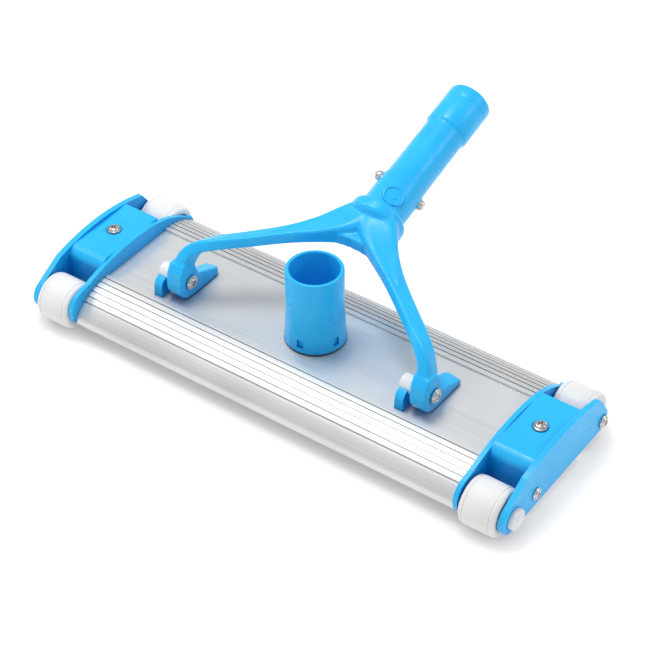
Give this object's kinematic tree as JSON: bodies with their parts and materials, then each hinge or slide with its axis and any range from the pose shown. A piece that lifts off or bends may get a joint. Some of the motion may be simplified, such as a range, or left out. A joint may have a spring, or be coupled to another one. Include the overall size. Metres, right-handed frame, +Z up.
{
  "type": "pool vacuum head",
  "caption": "Manual pool vacuum head: ribbed aluminium plate on wheels, blue end caps, slotted swivel hose port and a hinged forked handle ending in a pole stub with snap buttons.",
  "frame": {"origin": "on the floor under the wheels, midway along the plate and between its two rails", "axes": "+X along the plate, +Y towards the side the handle leans to, +Z up"},
  "size_m": [0.3798, 0.2533, 0.1276],
  "materials": {
    "aluminium": "satin anodised extrusion",
    "blue_plastic": "glossy moulded sky-blue plastic",
    "white_plastic": "smooth white moulded plastic",
    "stainless": "polished stainless steel",
    "zinc_steel": "dull zinc-plated steel",
    "button_steel": "polished steel",
    "seal_rubber": "matte black rubber",
    "brush_back": "satin white plastic strip",
    "bristle": "white nylon tufts"
  },
  "bodies": {
    "head": {"body_plate": "aluminium", "end_cap_left": "blue_plastic", "end_cap_right": "blue_plastic", "cap_insert_left": "zinc_steel", "cap_insert_right": "zinc_steel", "cap_top_screws": "stainless", "cap_side_screws": "stainless", "front_axles": "stainless", "axle_caps": "white_plastic", "rear_axle_bolts": "stainless", "port_washer": "seal_rubber", "pivot_screws": "stainless", "pivot_bushes": "white_plastic", "yoke_lug_left": "blue_plastic", "yoke_lug_right": "blue_plastic", "lug_screws": "stainless", "brush_holder_front": "brush_back", "brush_holder_rear": "brush_back", "bristles_front": "bristle", "bristles_rear": "bristle"},
    "yoke": {"yoke": "blue_plastic", "snap_spring": "stainless"},
    "port": {"port_tube": "blue_plastic", "port_retainer": "blue_plastic"},
    "wheel_front_left": {"wheel_front_left": "white_plastic"},
    "wheel_front_right": {"wheel_front_right": "white_plastic"},
    "wheel_rear_left": {"wheel_rear_left": "white_plastic"},
    "wheel_rear_right": {"wheel_rear_right": "white_plastic"},
    "button_left": {"snap_button_left": "button_steel"},
    "button_right": {"snap_button_right": "button_steel"}
  },
  "joints": [
    {"name": "yoke_pivot", "type": "hinge", "parent": "head", "child": "yoke", "pos_m": [0, -0.0155, 0.0428], "axis": [1, 0, 0], "range_deg": [0, 100]},
    {"name": "port_swivel", "type": "hinge", "parent": "head", "child": "port", "pos_m": [0, 0, 0.0558], "axis": [0, 0, 1], "continuous": true},
    {"name": "wheel_front_left_spin", "type": "hinge", "parent": "head", "child": "wheel_front_left", "pos_m": [-0.16725, -0.054, 0.0163], "axis": [1, 0, 0], "continuous": true},
    {"name": "wheel_front_right_spin", "type": "hinge", "parent": "head", "child": "wheel_front_right", "pos_m": [0.16725, -0.054, 0.0163], "axis": [1, 0, 0], "continuous": true},
    {"name": "wheel_rear_left_spin", "type": "hinge", "parent": "head", "child": "wheel_rear_left", "pos_m": [-0.16725, 0.05, 0.0163], "axis": [1, 0, 0], "continuous": true},
    {"name": "wheel_rear_right_spin", "type": "hinge", "parent": "head", "child": "wheel_rear_right", "pos_m": [0.16725, 0.05, 0.0163], "axis": [1, 0, 0], "continuous": true},
    {"name": "button_left_press", "type": "slide", "parent": "yoke", "child": "button_left", "axis": [0.8988, 0.1223, -0.421], "range_m": [0, 0.0044], "stiffness_N_per_m": 400, "springref_m": -0.003, "deforming": ["snap_spring"]},
    {"name": "button_right_press", "type": "slide", "parent": "yoke", "child": "button_right", "axis": [-0.8988, -0.1223, 0.421], "range_m": [0, 0.0044], "stiffness_N_per_m": 400, "springref_m": -0.003, "deforming": ["snap_spring"]}
  ]
}
